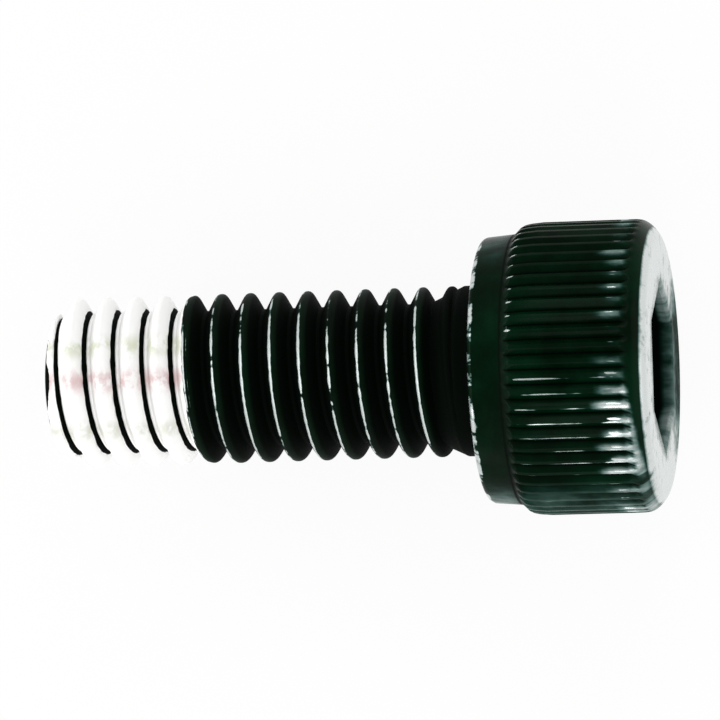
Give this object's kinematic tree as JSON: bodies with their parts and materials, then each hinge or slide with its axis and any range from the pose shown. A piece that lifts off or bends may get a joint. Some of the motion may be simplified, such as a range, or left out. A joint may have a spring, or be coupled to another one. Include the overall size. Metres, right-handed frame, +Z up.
{
  "type": "socket head cap screw",
  "caption": "Short black steel cap screw with a knurled head, a hexagon socket, a full-length right-hand thread and a white locking coat on the tip's turns.",
  "frame": {"origin": "on the surface that the screw lies on, under the middle of its box", "axes": "+X along the lying screw from the tip to the head, +Z up; the screw's own axis rises towards the head, because the head is wider than the thread"},
  "size_m": [0.0216, 0.01, 0.0104],
  "materials": {
    "black_steel": "black oxide, slightly oily, satin",
    "locking_coat": "thin white pre-applied coat, chalky"
  },
  "bodies": {
    "root": {"screw": "black_steel"}
  },
  "joints": []
}
